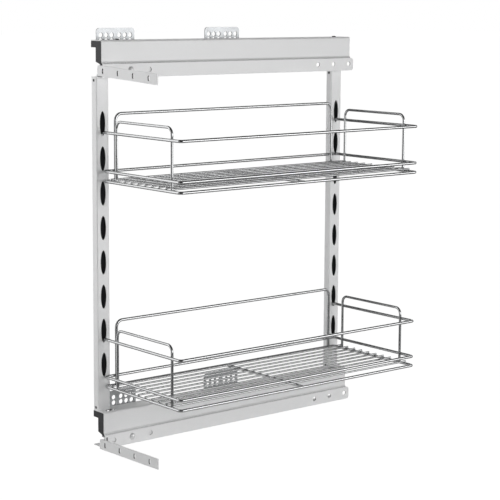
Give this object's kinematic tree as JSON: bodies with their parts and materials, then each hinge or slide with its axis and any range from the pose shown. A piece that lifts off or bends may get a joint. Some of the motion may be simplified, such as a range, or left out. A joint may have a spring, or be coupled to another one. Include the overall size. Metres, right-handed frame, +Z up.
{
  "type": "pull-out wire basket",
  "caption": "Side-mounted pull-out unit for a narrow kitchen cabinet: slotted posts between telescopic rails carry chrome wire baskets by their hooked top rails.",
  "frame": {"origin": "on the face of the cabinet's side wall, at the centre of the four outermost screw holes of the mounting plates' top rows", "axes": "+X back into the cabinet along the rails, +Y into the side wall, +Z up; the unit pulls out along -X"},
  "size_m": [0.483, 0.2, 0.6074],
  "materials": {
    "silver_coat": "satin",
    "chrome_wire": "polished",
    "zinc_plate": "satin",
    "slide_steel": "satin",
    "ball_steel": "polished",
    "dark_plastic": "matte",
    "black_steel": "satin"
  },
  "bodies": {
    "cabinet_fixed": {"upper_cabinet_member": "slide_steel", "lower_cabinet_member": "slide_steel", "upper_front_plate": "zinc_plate", "upper_rear_plate": "zinc_plate", "lower_front_plate": "zinc_plate", "lower_rear_plate": "zinc_plate", "plate_rivets": "zinc_plate"},
    "carriage": {"upper_rail_cover": "silver_coat", "upper_carriage_member": "slide_steel", "upper_end_cap": "dark_plastic", "upper_door_bracket": "silver_coat", "lower_rail_cover": "silver_coat", "lower_carriage_member": "slide_steel", "lower_end_cap": "dark_plastic", "lower_door_bracket": "silver_coat", "front_post": "silver_coat", "rear_post": "silver_coat", "front_post_liner": "dark_plastic", "rear_post_liner": "dark_plastic", "post_spigots": "dark_plastic", "post_screws": "zinc_plate", "post_grub_screws": "black_steel", "bracket_rivets": "silver_coat", "flange_plugs": "dark_plastic"},
    "upper_middle_member": {"upper_middle_member": "slide_steel"},
    "upper_outer_cage": {"upper_outer_cage": "slide_steel", "upper_outer_balls": "ball_steel"},
    "upper_inner_cage": {"upper_inner_cage": "slide_steel", "upper_inner_balls": "ball_steel"},
    "upper_basket": {"upper_top_rail": "chrome_wire", "upper_middle_ring": "chrome_wire", "upper_bottom_ring": "chrome_wire", "upper_back_loop": "chrome_wire", "upper_left_loop": "chrome_wire", "upper_right_loop": "chrome_wire", "upper_floor_wires": "chrome_wire", "upper_cross_wire": "chrome_wire"},
    "lower_middle_member": {"lower_middle_member": "slide_steel"},
    "lower_outer_cage": {"lower_outer_cage": "slide_steel", "lower_outer_balls": "ball_steel"},
    "lower_inner_cage": {"lower_inner_cage": "slide_steel", "lower_inner_balls": "ball_steel"},
    "lower_basket": {"lower_top_rail": "chrome_wire", "lower_middle_ring": "chrome_wire", "lower_bottom_ring": "chrome_wire", "lower_back_loop": "chrome_wire", "lower_left_loop": "chrome_wire", "lower_right_loop": "chrome_wire", "lower_floor_wires": "chrome_wire", "lower_cross_wire": "chrome_wire"}
  },
  "joints": [
    {"name": "pull_out", "type": "slide", "parent": "cabinet_fixed", "child": "carriage", "axis": [-1, 0, 0], "range_m": [0, 0.42]},
    {"name": "upper_middle_member_slide", "type": "slide", "parent": "cabinet_fixed", "child": "upper_middle_member", "axis": [-1, 0, 0], "range_m": [0, 0.21]},
    {"name": "upper_outer_cage_slide", "type": "slide", "parent": "cabinet_fixed", "child": "upper_outer_cage", "axis": [-1, 0, 0], "range_m": [0, 0.105]},
    {"name": "upper_inner_cage_slide", "type": "slide", "parent": "cabinet_fixed", "child": "upper_inner_cage", "axis": [-1, 0, 0], "range_m": [0, 0.315]},
    {"name": "upper_basket_lift", "type": "slide", "parent": "carriage", "child": "upper_basket", "axis": [0, 0, 1], "range_m": [0, 0.009]},
    {"name": "lower_middle_member_slide", "type": "slide", "parent": "cabinet_fixed", "child": "lower_middle_member", "axis": [-1, 0, 0], "range_m": [0, 0.21]},
    {"name": "lower_outer_cage_slide", "type": "slide", "parent": "cabinet_fixed", "child": "lower_outer_cage", "axis": [-1, 0, 0], "range_m": [0, 0.105]},
    {"name": "lower_inner_cage_slide", "type": "slide", "parent": "cabinet_fixed", "child": "lower_inner_cage", "axis": [-1, 0, 0], "range_m": [0, 0.315]},
    {"name": "lower_basket_lift", "type": "slide", "parent": "carriage", "child": "lower_basket", "axis": [0, 0, 1], "range_m": [0, 0.009]}
  ],
  "couplings": [
    {"joint": "upper_middle_member_slide", "follows": "pull_out", "ratio": 0.5},
    {"joint": "upper_outer_cage_slide", "follows": "pull_out", "ratio": 0.25},
    {"joint": "upper_inner_cage_slide", "follows": "pull_out", "ratio": 0.75},
    {"joint": "lower_middle_member_slide", "follows": "pull_out", "ratio": 0.5},
    {"joint": "lower_outer_cage_slide", "follows": "pull_out", "ratio": 0.25},
    {"joint": "lower_inner_cage_slide", "follows": "pull_out", "ratio": 0.75}
  ]
}
